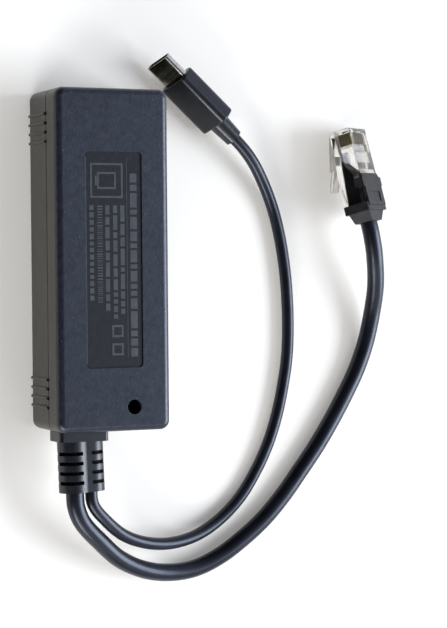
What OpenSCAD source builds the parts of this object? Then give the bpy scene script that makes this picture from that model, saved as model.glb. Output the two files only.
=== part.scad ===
// Inline power splitter: a two-part case with a network socket, a network lead and a power lead.
// Millimetres. The case lies on its back, with the origin at its bottom centre.
// +Y points at the socket end, +Z at the front face and +X to the right of the label.

/* [Case] */
// Length of the case, end to end
case_l = 85; // [83:0.5:92]
// Width of the case, without the grip ridges
case_w = 29.8; // [29.4:0.2:34]
// Depth of the case, from its back to its front face
case_d = 20.8; // [20.6:0.2:24]
// Wall thickness of both shells
wall = 2; // [1.8:0.1:2.2]
// Height of the joint between the two shells
seam_z = 13.3; // [12:0.1:15]
// Open groove between the shells, as seen outside
seam_gap = 0.3; // [0.2:0.05:0.5]
// Radius of the four upright corners
corner_r = 2.4; // [1.6:0.1:3]
// Radius round the edges of the front face
front_r = 1.8; // [1:0.1:2]
// Radius round the edges of the back
back_r = 1.5; // [0.8:0.1:1.9]
// Height of the tongue that joins the shells
lip_h = 1.5; // [1:0.1:2]

/* [Grip ridges] */
// Ridges in each of the four groups
ridge_count = 4; // [2:1:5]
// Distance between ridges
ridge_pitch = 2.3; // [1.8:0.1:2.6]
// Radius of a ridge, which is also how far it stands out
ridge_r = 0.4; // [0.3:0.05:0.5]
// Distance from the outermost ridge to the end of the case
ridge_end = 6.1; // [5:0.1:8]

/* [Front face] */
// Width of the shallow label panel
label_w = 15; // [12:0.5:18]
// Length of the shallow label panel
label_l = 53.4; // [46:0.2:56]
// Depth of the label panel
label_d = 0.3; // [0.2:0.05:0.5]
// Diameter of the hole over the indicator
led_hole_d = 3.7; // [3.2:0.1:4.4]
// Indicator, right of the strain relief's axis
led_side = 11; // [10.5:0.1:12]
// Indicator, from the lead end of the case
led_end = 6; // [5.4:0.1:6.5]

/* [Circuit board] */
// Thickness of the board
board_t = 1.6; // [1.2:0.2:1.8]
// Gap from the board's edge to the walls
board_gap = 0.3; // [0.2:0.05:0.5]
// Height of the posts under the board
post_h = 1.6; // [1:0.1:1.8]
// Radius of the posts under and over the board
post_r = 2.1; // [1.9:0.1:2.2]
// Radius of the pins through the board
pin_r = 0.8; // [0.6:0.1:1]
// Clearance round a pin
pin_fit = 0.12; // [0.1:0.02:0.2]

/* [Network socket] */
// Width of the socket over its metal shield
jack_w = 16; // [15.6:0.1:16.2]
// Clearance between the socket and the roof of the case
jack_gap = 0.2; // [0.1:0.05:0.5]
// Length of the socket along the case
jack_l = 21; // [19:0.5:21]
// Thickness of the metal shield
shield_t = 0.25; // [0.2:0.05:0.35]
// Width of the opening for a plug
mouth_w = 11.9; // [11.8:0.1:12]
// Height of the opening for a plug
mouth_h = 6.9; // [6.8:0.1:7]
// Depth of the opening for a plug
mouth_l = 13; // [12:0.5:14]
// Clearance of the case round the socket
jack_fit = 0.15; // [0.1:0.05:0.2]

/* [Strain relief] */
// From the left side of the case to the strain relief's flange
relief_side = 2.5; // [2.3:0.05:3]
// Height of the strain relief's axis
relief_z = 10.4; // [10.2:0.1:10.6]
// Width of its flange
flange_w = 13; // [12.6:0.1:13.4]
// Height of its flange
flange_h = 8.5; // [8.3:0.1:8.8]
// Thickness of the flange outside the case
flange_t = 2.7; // [2:0.1:3.2]
// Thickness of the flange inside the case
inner_flange_t = 1.6; // [1.2:0.1:1.8]
// Length of the ribbed body beyond the flange
relief_l = 12.8; // [12:0.1:16]
// Width of the slots in the ribbed body
slot_w = 0.9; // [0.7:0.05:1.1]
// Distance between the slots
slot_pitch = 2.45; // [2.2:0.05:2.6]
// Depth of the slots
slot_d = 1; // [0.6:0.1:1.2]
// Thickness of the web that the slots leave along the middle
slot_web = 1.2; // [0.8:0.1:1.6]
// Turn of the ribbed body, pulled aside by the leads
relief_turn = 2; // [0:0.5:3]
// Clearance of the case round the relief's neck
relief_fit = 0.1; // [0.05:0.05:0.15]

/* [Leads] */
// Diameter of the network lead
data_d = 4.6; // [4.4:0.1:4.8]
// Diameter of the power lead
power_d = 3.2; // [3:0.1:3.4]

/* [Network plug] */
// Width of the clear plug body
plug_w = 11.68; // [11.5:0.02:11.7]
// Thickness of the clear plug body
plug_t = 6.6; // [6.5:0.05:6.7]
// Length of the clear plug body
plug_l = 21.46; // [21.2:0.02:21.8]
// How much thinner the body is at its nose, on the latch side
nose_drop = 1.4; // [0.8:0.1:1.5]
// Distance between the eight blades
blade_pitch = 1.02; // [1:0.01:1.04]
// Thickness of a blade
blade_t = 0.35; // [0.3:0.05:0.4]
// Length of the plug with its sleeve
plug_total_l = 25.3; // [24.8:0.1:26]
// Width of the sleeve's rear block
sleeve_w = 12.5; // [12.3:0.1:12.8]
// Thickness of the sleeve's rear block
sleeve_t = 7.2; // [7.1:0.1:7.6]

/* [Power plug] */
// Width of the metal tongue's shell
tip_w = 8.25; // [8.2:0.05:8.3]
// Thickness of the metal shell
tip_t = 2.4; // [2.35:0.05:2.45]
// Length of the metal shell that shows
tip_l = 6.65; // [6.5:0.05:6.8]
// Sheet thickness of the metal shell
tip_wall = 0.3; // [0.25:0.05:0.35]
// Width of the moulded grip
grip_w = 9.7; // [9.4:0.1:10]
// Thickness of the moulded grip
grip_t = 5.8; // [5.4:0.1:6]
// Length of the moulded grip
grip_l = 16; // [15:0.1:17]
// Radius of the grip's long edges
grip_r = 1.8; // [1.2:0.1:2.2]
// Length of the tapered neck behind the grip
neck_l = 6; // [5:0.1:7]

/* [Hidden] */
$fn = 48;
eps = 0.01;
cut = 1;

// Inside of the case
inner_w = case_w - 2 * wall;
inner_l = case_l - 2 * wall;
inner_r = max(0.4, corner_r - wall);
roof_z = case_d - wall;
lip_t = wall / 2;
lip_gap = 0.05;
lip_top = seam_z + lip_h;
front_z = seam_z + seam_gap;
notch_r = 0.45;
notch_d = 0.5;

// Circuit board and the posts that hold it
board_z = wall + post_h;
board_top = board_z + board_t;
board_w = inner_w - 2 * board_gap;
board_l = inner_l - 2 * board_gap;
pin_top = board_top + 1.4;

// Socket, with its front face flush with the end of the case
jack_y = case_l / 2;
jack_back = jack_y - jack_l;
jack_h = roof_z - board_top - jack_gap;
latch_w = 6.3;
latch_h = 0.105 * jack_h;
key_w = 3.5;
key_h = 0.09 * jack_h;
mouth_spare = jack_h - shield_t - mouth_h - latch_h - key_h;
mouth_z = board_top + latch_h + key_h + 0.4 * mouth_spare;
mouth_top = mouth_z + mouth_h;

// Strain relief, from the inside of the case outwards
end_y = -case_l / 2;
relief_x = -case_w / 2 + relief_side + flange_w / 2;
neck_w = flange_w - 2.4;
neck_h = flange_h - 2.4;
body_y = end_y - flange_t;
relief_end = body_y - relief_l;
flange_r = 1;
big_r = 4;
big_x = relief_x - 1.7;
small_r = 3.2;
small_x = relief_x + 2.9;
web_x = [relief_x - 0.45, relief_x + 2];
data_x = big_x;
power_x = small_x - 0.25;

// Where a lead leaves the turned body, for its place across the relief
function relief_exit(x) = [
    relief_x + (x - relief_x) * cos(relief_turn) + relief_l * sin(relief_turn),
    body_y + (x - relief_x) * sin(relief_turn) - relief_l * cos(relief_turn),
    relief_z
];
data_exit = relief_exit(data_x);
power_exit = relief_exit(power_x);
exit_way = [sin(relief_turn), -cos(relief_turn), 0];
first_slot = 2.95;
slot_count = 4;

// Indicator, and the posts: two beside it and two behind the socket
led_x = relief_x + led_side;
led_y = end_y + led_end;
led_d = 3;
led_rim_d = 3.6;
led_rim_h = 0.9;
led_h = 3.8;
post_gap = 0.3;
post_x = inner_w / 2 - post_r - post_gap;
post_ys = [led_y + 5.5, jack_back - post_r - 2 * post_gap];

// Free part of the board, from the strain relief to the socket, divided into 24 x 60 cells of about
// a millimetre. The room above it is 13 cells high. Round pieces use the smaller of the first two.
cells_y = end_y + wall + inner_flange_t;
cell = [board_w / 24, (jack_back - cells_y) / 60, (roof_z - board_top) / 13];
round_cell = min(cell[0], cell[1]);
leg_out = 0.6;
leg_h = 0.5;

// Network plug: its nose, its turn on the table, its pitch and its roll, then its own sizes
plug_nose = [72.8, 34.26, 5.15];
plug_turn = 10.2;
plug_pitch = -10.25;
plug_roll = 39.8;
floor_run = 14;
plug_roof_t = 0.7;
cavity_w = 9.6;
comb_end = 6.3;
blade_y = [1.3, 4.5];
blade_z = [-0.6, 2.9];
blade_fit = 0.05;
latch_t = 0.9;
latch_wide = 6.2;
latch_narrow = 4.2;
latch_step = 9.8;
latch_l = 15;
latch_out = 8;
latch_mid = 6.1;
comb_top = 0.9;
comb_floor = -1.25;
floor_fall = 1.5;
tray_w = 8.4;
tray_y = 1.4;
sleeve_y = 20.4;
sleeve_taper = 22.7;
sleeve_end_w = 7;
sleeve_end_t = 5.2;
panel_w = 11;
panel_t = 0.6;
panel_y = [12.6, 14.2];
lug_y = [13.8, 16.2];
lug_z = 1.2;
dimple_y = 17.7;
dimple_w = 6.5;
dimple_d = 0.25;

// Power plug: its tip, its turn and roll, then its own sizes
tip_nose = [18.64, 51.15, 5.1];
tip_turn = 47.6;
tip_roll = -61;
tip_inset = 2;
tip_fit = 0.05;
tongue_w = 6.7;
tongue_t = 0.8;
tongue_l = 5.2;
pad_count = 12;
pad_pitch = 0.5;
pad_w = 0.25;
pad_t = 0.12;
neck_d = [5.5, 4.8];
grip_edge = 0.6;

// Where each lead ends, on the back of its plug
function way(turn, pitch) = [-sin(turn) * cos(pitch), cos(turn) * cos(pitch), sin(pitch)];
data_way = way(plug_turn, plug_pitch);
power_way = way(tip_turn, 0);
data_end = plug_nose - plug_total_l * data_way;
power_end = tip_nose - (tip_l + grip_l + neck_l) * power_way;

// Route of the network lead over the table
data_route = [
    data_exit, [-6.8, -62, 10.3], [-4.8, -66.2, 9.7], [0.2, -71.3, 8.4], [6, -76.2, 6.6],
    [13, -79.6, 4.9], [20.7, -81.2, 3.4], [28.6, -80.8, 2.6], [36, -78, 2.4], [42.8, -73.7, 2.4],
    [49, -68.8, 2.4], [54.6, -63, 2.4], [59.6, -56.8, 2.4], [64.5, -50.5, 2.4], [69, -43.9, 2.4],
    [73.2, -37, 2.4], [77, -30, 2.4], [79.7, -22.6, 2.8], [80.9, -14.8, 4.2], [80.7, -7.1, 6.8],
    [79.2, 0.6, 9.2], [78.1, 5.4, 9.9], data_end
];
// Route of the power lead over the table
power_route = [
    power_exit, [-2.3, -61.5, 10.3], [0.6, -65.1, 9.7], [6.6, -70, 8.2], [13.9, -72.7, 6.4],
    [21.6, -73.4, 4.6], [29.3, -72, 2.9], [36.3, -68.4, 1.8], [42.2, -63, 1.7], [46.8, -56.4, 1.7],
    [50.5, -49.3, 1.7], [53.2, -41.8, 1.7], [55.1, -34, 1.7], [56.4, -26.1, 1.7],
    [56.8, -18.1, 1.7], [56.6, -10.1, 1.7], [55.9, -2.2, 1.7], [54.6, 5.7, 1.7],
    [52.5, 13.4, 1.9], [49.1, 20.5, 3], [44.9, 26.6, 4.5], power_end
];

// Block with rounded upright edges, standing from z0 to z1
module upright_block(w, l, z0, z1, r) {
    translate([-w / 2 + r, -l / 2, z0])
        cube([w - 2 * r, l, z1 - z0]);
    translate([-w / 2, -l / 2 + r, z0])
        cube([w, l - 2 * r, z1 - z0]);
    for (x = [-1, 1], y = [-1, 1])
        translate([x * (w / 2 - r), y * (l / 2 - r), z0])
            cylinder(r = r, h = z1 - z0);
}

// Flat outline of the given width and height, with rounded top corners
module rounded_top(w, h, e) {
    translate([-w / 2, 0])
        square([w, h - e]);
    translate([-w / 2 + e, 0])
        square([w - 2 * e, h]);
    for (x = [-1, 1])
        translate([x * (w / 2 - e), h - e])
            circle(e);
}

// The same block with its top edges rounded too, as a moulded shell has them
module moulded_block(w, l, h, r, e) {
    rotate([90, 0, 0])
        linear_extrude(l - 2 * r, center = true)
            rounded_top(w, h, e);
    rotate([90, 0, 90])
        linear_extrude(w - 2 * r, center = true)
            rounded_top(l, h, e);
    for (x = [-1, 1], y = [-1, 1])
        translate([x * (w / 2 - r), y * (l / 2 - r), 0])
            rotate_extrude()
                intersection() {
                    rounded_top(2 * r, h, e);
                    square([r, h]);
                }
}

// Bar along Y with rounded long edges, from y0 to y1
module bar(w, t, y0, y1, r) {
    translate([0, y1, 0])
        rotate([90, 0, 0])
            upright_block(w, t, 0, y1 - y0, r);
}

// Holes through an end wall for the socket and for the neck of the strain relief
module end_cuts() {
    translate([-jack_w / 2 - jack_fit, jack_y - wall - cut, board_top - jack_fit])
        cube([jack_w + 2 * jack_fit, wall + 2 * cut, jack_h + 2 * jack_fit]);
    translate([relief_x, 0, relief_z])
        bar(neck_w + 2 * relief_fit, neck_h + 2 * relief_fit, end_y - cut, end_y + wall + cut, 1);
}

// Where each grip ridge stands along the case
function ridge_ys() = [
    for (s = [-1, 1], i = [0 : ridge_count - 1]) s * (case_l / 2 - ridge_end - i * ridge_pitch)
];

// Round pockets at the joint, one over each ridge
module ridge_pockets() {
    for (y = ridge_ys(), s = [-1, 1])
        translate([s * (case_w / 2 - notch_d), y, seam_z + seam_gap / 2])
            rotate([0, s * 90, 0])
                cylinder(r = notch_r, h = notch_d + cut, $fn = 24);
}

module each_post() {
    for (x = [-1, 1], y = post_ys)
        translate([x * post_x, y, 0])
            children();
}

module front_shell() {
    color([0.25, 0.27, 0.31])
        difference() {
            union() {
                difference() {
                    translate([0, 0, front_z])
                        moulded_block(case_w, case_l, case_d - front_z, corner_r, front_r);
                    upright_block(inner_w, inner_l, seam_z, roof_z, inner_r);
                    upright_block(
                        case_w - 2 * (lip_t - lip_gap), case_l - 2 * (lip_t - lip_gap), seam_z, lip_top,
                        corner_r - lip_t
                    );
                }
                each_post()
                    translate([0, 0, board_top])
                        cylinder(r = post_r, h = roof_z - board_top + eps);
            }
            each_post()
                translate([0, 0, board_top - cut])
                    cylinder(r = pin_r + pin_fit, h = pin_top - board_top + cut + pin_fit, $fn = 24);
            upright_block(label_w, label_l, case_d - label_d, case_d + cut, 1);
            translate([led_x, led_y, roof_z - cut])
                cylinder(d = led_hole_d, h = wall + 2 * cut);
            end_cuts();
            ridge_pockets();
        }
}

module rear_shell() {
    color([0.33, 0.31, 0.28])
        difference() {
            union() {
                difference() {
                    translate([0, 0, seam_z])
                        mirror([0, 0, 1])
                            moulded_block(case_w, case_l, seam_z, corner_r, back_r);
                    upright_block(inner_w, inner_l, wall, seam_z + cut, inner_r);
                }
                difference() {
                    upright_block(
                        case_w - 2 * lip_t, case_l - 2 * lip_t, seam_z - cut, lip_top,
                        corner_r - lip_t
                    );
                    upright_block(inner_w, inner_l, seam_z - 2 * cut, lip_top + cut, inner_r);
                }
                each_post() {
                    translate([0, 0, wall - eps])
                        cylinder(r = post_r, h = post_h + eps);
                    cylinder(r = pin_r, h = pin_top, $fn = 24);
                }
                for (y = ridge_ys(), s = [-1, 1])
                    translate([s * case_w / 2, y, 0.6 * back_r])
                        cylinder(r = ridge_r, h = seam_z - 0.6 * back_r, $fn = 24);
            }
            end_cuts();
            ridge_pockets();
        }
}

module circuit_board() {
    color([0.1, 0.4, 0.2])
        difference() {
            upright_block(board_w, board_l, board_z, board_top, 0.5);
            each_post()
                translate([0, 0, board_z - cut])
                    cylinder(r = pin_r + pin_fit, h = board_t + 2 * cut, $fn = 24);
        }
}

// The plug opening, its latch channel and the key below it, from y0 back to y1
module plug_mouth(y0, y1, grow) {
    translate([-mouth_w / 2 - grow, y0, mouth_z - grow])
        cube([mouth_w + 2 * grow, y1 - y0, mouth_h + 2 * grow]);
    translate([-latch_w / 2 - grow, y0, mouth_z - latch_h - grow])
        cube([latch_w + 2 * grow, y1 - y0, latch_h + cut]);
    translate([-key_w / 2 - grow, y0, mouth_z - latch_h - key_h - grow])
        cube([key_w + 2 * grow, y1 - y0, key_h + cut]);
}

module jack_housing() {
    color([0.12, 0.12, 0.13])
        difference() {
            translate([-jack_w / 2 + shield_t, jack_back + shield_t, board_top])
                cube([jack_w - 2 * shield_t, jack_l - 2 * shield_t, jack_h - shield_t]);
            plug_mouth(jack_y - mouth_l, jack_y + cut, 0);
        }
}

module jack_shield() {
    color([0.75, 0.76, 0.78])
        difference() {
            translate([-jack_w / 2, jack_back, board_top])
                cube([jack_w, jack_l, jack_h]);
            translate([-jack_w / 2 + shield_t, jack_back + shield_t, board_top - cut])
                cube([jack_w - 2 * shield_t, jack_l - 2 * shield_t, jack_h - shield_t + cut]);
            plug_mouth(jack_y - mouth_l, jack_y + cut, 0.2);
        }
}

// Eight spring contacts that slope back from under the socket's roof to its rear wall
module jack_contacts() {
    strip_w = 0.45;
    strip_t = 0.35;
    rise = 1.8;
    back = mouth_l;
    bend = mouth_l - 2;
    tip = 2.8;
    top = mouth_top - 0.05;
    color([0.85, 0.7, 0.35])
        for (i = [0 : 7])
            translate([(i - 3.5) * blade_pitch, jack_y, 0])
                side_sweep(strip_w, [
                    [tip, top], [tip, top - strip_t], [bend, top - rise - strip_t],
                    [back, top - rise - strip_t], [back, top - rise], [bend, top - rise]
                ]);
}

// Place on the board, in cells from its middle line and from the strain relief
module on_board(x, y) {
    translate([x * cell[0], cells_y + y * cell[1], board_top])
        children();
}

// Block that stands on the board, sized in cells and centred on its place
module board_block(x, y, size) {
    on_board(x, y)
        translate([-size[0] * cell[0] / 2, -size[1] * cell[1] / 2, 0])
            cube([size[0] * cell[0], size[1] * cell[1], size[2] * cell[2]]);
}

// Chip body with bent legs along two sides
module leaded_chip(x, y, size, legs, pitch, leg_w) {
    half = size[0] * cell[0] / 2;
    board_block(x, y, size);
    on_board(x, y)
        for (s = [-1, 1], i = [0 : legs - 1])
            translate([s > 0 ? half - leg_w : -half - leg_out, (i - (legs - 1) / 2) * pitch - leg_w / 2, 0])
                cube([leg_out + leg_w, leg_w, leg_h]);
}

module network_transformer() {
    color([0.1, 0.1, 0.11])
        leaded_chip(0, 54, [11.8, 10.8, 5.4], 8, 1.2 * cell[1], 0.4);
}

// Ferrite core: two plates, two outer legs and a round middle leg
core_at = [-4.2, 33];
core_cells = [13.2, 5.8, 11];
plate_cells = 1.8;
module transformer_core() {
    side = core_cells[0] / 2 - plate_cells / 2;
    color([0.25, 0.25, 0.27]) {
        board_block(core_at[0], core_at[1], [core_cells[0], core_cells[1], plate_cells]);
        translate([0, 0, (core_cells[2] - plate_cells) * cell[2]])
            board_block(core_at[0], core_at[1], [core_cells[0], core_cells[1], plate_cells]);
        for (x = [-side, side])
            board_block(core_at[0] + x, core_at[1], [plate_cells, core_cells[1], core_cells[2]]);
        on_board(core_at[0], core_at[1])
            cylinder(r = 2.1 * round_cell, h = core_cells[2] * cell[2]);
    }
}

module transformer_winding() {
    bore_fit = 0.05;
    height = (core_cells[2] - 2 * plate_cells) * cell[2];
    color([0.85, 0.7, 0.2])
        on_board(core_at[0], core_at[1])
            translate([0, 0, plate_cells * cell[2]])
                difference() {
                    cylinder(r = 4.5 * round_cell, h = height);
                    translate([0, 0, -cut])
                        cylinder(r = 2.1 * round_cell + bore_fit, h = height + 2 * cut);
                }
}

// Standing electrolytic can with a rolled groove near its foot; its diameter and height in cells
module can_capacitor(x, y, d, h) {
    radius = d * round_cell / 2;
    on_board(x, y)
        rotate_extrude()
            difference() {
                square([radius, h * cell[2]]);
                translate([radius, 1.6])
                    circle(0.35, $fn = 16);
            }
}

module input_capacitor() {
    color([0.15, 0.2, 0.4])
        can_capacitor(7.8, 43.2, 7.8, 11.5);
}

module output_capacitors() {
    color([0.15, 0.2, 0.4])
        for (y = [35.2, 28])
            can_capacitor(7.8, y, 6.2, 10.5);
}

module bridge_rectifiers() {
    color([0.12, 0.12, 0.12])
        for (x = [-9.7, 9.7])
            board_block(x, 50.8, [3.4, 4.6, 2.4]);
}

module controller_chip() {
    color([0.12, 0.12, 0.12])
        leaded_chip(-8.4, 43.6, [3.7, 4.8, 1.6], 4, 1.2 * cell[1], 0.4);
}

module switching_transistor() {
    color([0.12, 0.12, 0.12]) {
        board_block(-7.6, 21.8, [6.2, 6, 2.2]);
        board_block(-7.6, 25.2, [5, 1.2, 0.5]);
    }
}

module output_diode() {
    color([0.12, 0.12, 0.12])
        board_block(-0.4, 21.6, [5.6, 6.8, 2.2]);
}

module output_inductor() {
    color([0.3, 0.3, 0.32])
        on_board(7.8, 20.2)
            upright_block(6.8 * round_cell, 6.8 * round_cell, 0, 4.6 * cell[2], 1.2 * round_cell);
}

module optocoupler() {
    color([0.9, 0.9, 0.88])
        leaded_chip(-1.4, 43.6, [6, 4.4, 3.2], 2, 2.5 * cell[1], 0.5);
}

module ceramic_capacitors() {
    color([0.75, 0.6, 0.4])
        for (p = [[-8.8, 15.4], [-6.4, 15.4], [-1, 14.6], [1.4, 14.6], [-4.6, 39.6], [-1.8, 39.6]])
            board_block(p[0], p[1], [1.2, 2, 1]);
}

module indicator_led() {
    color([0.75, 0.85, 0.7])
        translate([led_x, led_y, board_top]) {
            cylinder(d = led_rim_d, h = led_rim_h);
            cylinder(d = led_d, h = led_h);
            translate([0, 0, led_h])
                sphere(d = led_d, $fn = 32);
        }
}

// Outline of the ribbed body: a big lobe round one lead and a small one round the other
module relief_lobes(y0, y1, shrink) {
    for (lobe = [[big_x, big_r], [small_x, small_r]])
        translate([lobe[0], y1, relief_z])
            rotate([90, 0, 0])
                cylinder(r = lobe[1] - shrink, h = y1 - y0);
    translate([big_x, y0, relief_z - small_r + shrink])
        cube([small_x - big_x, y1 - y0, 2 * (small_r - shrink)]);
}

module strain_relief() {
    color([0.14, 0.15, 0.18])
        union() {
            translate([relief_x, 0, relief_z]) {
                bar(flange_w, flange_h, body_y, end_y, flange_r);
                bar(neck_w, neck_h, end_y - cut, end_y + wall + cut, 1);
                bar(flange_w, flange_h, end_y + wall, end_y + wall + inner_flange_t, flange_r);
            }
            translate([relief_x, body_y, 0])
                rotate([0, 0, relief_turn])
                    translate([-relief_x, -body_y, 0])
                        difference() {
                            relief_lobes(relief_end, body_y + 0.4, 0);
                            for (i = [0 : slot_count - 1])
                                relief_slot(body_y - first_slot - i * slot_pitch);
                        }
        }
}

// One slot, cut from above and below and stopped at the web between the leads
module relief_slot(y) {
    difference() {
        translate([relief_x - flange_w / 2, y - slot_w / 2, relief_z - flange_h / 2])
            cube([flange_w, slot_w, flange_h]);
        relief_lobes(y - slot_w, y + slot_w, slot_d);
        translate([web_x[0], y - slot_w, relief_z - flange_h])
            cube([web_x[1] - web_x[0], 2 * slot_w, 2 * flange_h]);
        translate([relief_x - flange_w, y - slot_w, relief_z - slot_web / 2])
            cube([2 * flange_w, 2 * slot_w, slot_web]);
    }
}

// Insulated wire from the relief's inner face, along the case and down to the board
module bent_wire(x, z, run, d) {
    translate([x, cells_y + run, z]) {
        rotate([90, 0, 0])
            cylinder(d = d, h = run, $fn = 16);
        sphere(d = d, $fn = 16);
        translate([0, 0, board_top - z])
            cylinder(d = d, h = z - board_top, $fn = 16);
    }
}

module data_wires() {
    color([0.9, 0.5, 0.2])
        for (row = [0, 1], i = [0 : 3])
            bent_wire(data_x + (i - 1.5) * 1.15, relief_z + 0.6 - row * 1.2, 4 - row * 1.6, 0.95);
}

module power_wires() {
    color([0.7, 0.1, 0.1])
        for (s = [-1, 1])
            bent_wire(power_x + s * 0.8, relief_z, 3, 1.3);
}

// Tube swept along a route, with the first and last rings square to the given directions
function unit(v) = v / norm(v);
function heading(p, i, first, last) =
    i == 0 ? first : i == len(p) - 1 ? last : unit(unit(p[i + 1] - p[i]) + unit(p[i] - p[i - 1]));
function ring(c, h, r, sides) =
    let (side = unit(cross(h, [0, 0, 1])), up = cross(side, h))
    [for (k = [0 : sides - 1]) c + r * (cos(360 * k / sides) * side + sin(360 * k / sides) * up)];
module lead(route, first, last, d, sides) {
    n = len(route);
    points = [for (i = [0 : n - 1]) each ring(route[i], heading(route, i, first, last), d / 2, sides)];
    walls = [
        for (i = [0 : n - 2], k = [0 : sides - 1])
            let (a = i * sides, b = (k + 1) % sides)
            [a + k, a + sides + k, a + sides + b, a + b]
    ];
    start_cap = [[for (k = [0 : sides - 1]) k]];
    end_cap = [[for (k = [sides - 1 : -1 : 0]) (n - 1) * sides + k]];
    polyhedron(points = points, faces = concat(walls, start_cap, end_cap), convexity = 6);
}

module data_cord() {
    color([0.08, 0.08, 0.09])
        lead(data_route, exit_way, data_way, data_d, 10);
}

module power_cord() {
    color([0.08, 0.08, 0.09])
        lead(power_route, exit_way, power_way, power_d, 8);
}

// Puts a plug drawn along Y, nose at the origin, in its place on the table
module at_data_plug() {
    translate(plug_nose)
        rotate([0, 0, plug_turn])
            rotate([plug_pitch, 0, 0])
                rotate([0, plug_roll, 0])
                    children();
}

module at_power_plug() {
    translate(tip_nose)
        rotate([0, 0, tip_turn])
            rotate([0, tip_roll, 0])
                children();
}

// Side outline swept across the plug: points are distance back from the nose, then height
module side_sweep(w, outline) {
    rotate([90, 0, 90])
        linear_extrude(w, center = true)
            polygon([for (p = outline) [-p[0], p[1]]]);
}

// Height of the body's latch side and of its inner floor, at a distance back from the nose
function floor_out(y) = -plug_t / 2 + nose_drop * max(0, 1 - y / floor_run);
function floor_in(y) = comb_floor - floor_fall * (y - comb_end) / (plug_l + cut - comb_end);

// Sprung latch: one bent strip from the nose, wide at first and narrower under the thumb
module plug_latch() {
    difference() {
        side_sweep(latch_wide, [
            [0, floor_out(0) + eps], [0, -2.9], [1, -4], [5, -4.9], [latch_step, -latch_mid],
            [latch_l, -latch_out], [latch_l, -latch_out + latch_t], [latch_step, -latch_mid + latch_t],
            [5, -4.9 + latch_t], [2.1, -3.2], [1.5, -2.7], [1.4, floor_out(1.4) + 2 * eps]
        ]);
        for (s = [-1, 1])
            translate([s * latch_wide / 2, -latch_l - cut, -latch_out - cut])
                translate([s > 0 ? -(latch_wide - latch_narrow) / 2 : -cut, 0, 0])
                    cube([(latch_wide - latch_narrow) / 2 + cut, latch_l - latch_step + cut, 4]);
    }
}

module data_plug_body() {
    roof_in = plug_t / 2 - plug_roof_t;
    color([0.8, 0.82, 0.85, 0.4])
        at_data_plug()
            difference() {
                union() {
                    difference() {
                        bar(plug_w, plug_t, -plug_l, 0, 0.5);
                        side_sweep(plug_w + cut, [
                            [-cut, -plug_t], [-cut, floor_out(0)], [0, floor_out(0)],
                            [floor_run, -plug_t / 2 - eps], [floor_run, -plug_t]
                        ]);
                    }
                    plug_latch();
                }
                side_sweep(cavity_w, [
                    [comb_end, floor_in(comb_end)], [comb_end, comb_top], [9.5, comb_top], [11.5, roof_in],
                    [plug_l + cut, roof_in], [plug_l + cut, floor_in(plug_l + cut)]
                ]);
                translate([-tray_w / 2, -comb_end - eps, blade_z[0] - 1])
                    cube([tray_w, comb_end - tray_y, 1 + eps]);
                for (i = [0 : 7])
                    translate([
                        (i - 3.5) * blade_pitch - blade_t / 2 - blade_fit, -blade_y[1] - 0.1, blade_z[0]
                    ])
                        cube([blade_t + 2 * blade_fit, blade_y[1] - blade_y[0] + 0.2, plug_t]);
            }
}

module data_plug_contacts() {
    color([0.75, 0.62, 0.3])
        at_data_plug()
            for (i = [0 : 7])
                translate([(i - 3.5) * blade_pitch - blade_t / 2, -blade_y[1], blade_z[0]])
                    cube([blade_t, blade_y[1] - blade_y[0], blade_z[1] - blade_z[0]]);
}

// Flattened end of the lead inside the clear plug, and the eight wires in front of it
module data_plug_wires() {
    lift = 0.05;
    color([0.07, 0.07, 0.08])
        at_data_plug() {
            side_sweep(cavity_w - 0.2, [
                [comb_end, floor_in(comb_end) + lift], [comb_end, -0.95], [8.8, -0.8], [10, -0.5],
                [11.9, 0.8], [13.7, 1.1], [15.5, 1.15], [18.1, 1.4], [plug_l, 1.5],
                [plug_l, floor_in(plug_l) + lift]
            ]);
            for (i = [0 : 7])
                translate([(i - 3.5) * blade_pitch, -1.5, blade_z[0] - 0.5])
                    rotate([90, 0, 0])
                        cylinder(d = 0.96, h = comb_end - 1.5, $fn = 16);
        }
}

// Moulded sleeve: a rear block that tapers to the lead, and a panel over the plug's top
module data_plug_boot() {
    body_fit = 0.05;
    panel_top = plug_t / 2 + panel_t;
    color([0.2, 0.2, 0.23])
        at_data_plug()
            difference() {
                union() {
                    bar(sleeve_w, sleeve_t, -sleeve_taper, -sleeve_y, 0.6);
                    hull() {
                        bar(sleeve_w, sleeve_t, -sleeve_taper, -sleeve_taper + eps, 0.6);
                        bar(sleeve_end_w, sleeve_end_t, -plug_total_l, -plug_total_l + eps, 1);
                    }
                    side_sweep(panel_w, [
                        [panel_y[0], plug_t / 2 - eps], [panel_y[0], plug_t / 2 + 0.1],
                        [panel_y[1], panel_top], [sleeve_y + 1, panel_top],
                        [sleeve_y + 1, plug_t / 2 - eps]
                    ]);
                    translate([-sleeve_w / 2, -lug_y[1], lug_z])
                        cube([sleeve_w, lug_y[1] - lug_y[0], panel_top - lug_z]);
                }
                bar(plug_w + 2 * body_fit, plug_t, -plug_l, 0, 0.5);
                translate([-dimple_w / 2, -sleeve_y, panel_top - dimple_d])
                    cube([dimple_w, sleeve_y - dimple_y, 1]);
            }
}

// Flat tube section of the power plug, solid, from y0 to y1
module tip_form(w, t, y0, y1) {
    for (s = [-1, 1])
        translate([s * (w - t) / 2, y1, 0])
            rotate([90, 0, 0])
                cylinder(d = t, h = y1 - y0);
    translate([-(w - t) / 2, y0, -t / 2])
        cube([w - t, y1 - y0, t]);
}

module usb_shell() {
    color([0.7, 0.7, 0.72])
        at_power_plug()
            difference() {
                tip_form(tip_w, tip_t, -tip_l - tip_inset, 0);
                tip_form(tip_w - 2 * tip_wall, tip_t - 2 * tip_wall, -tip_l - tip_inset - cut, cut);
            }
}

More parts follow.
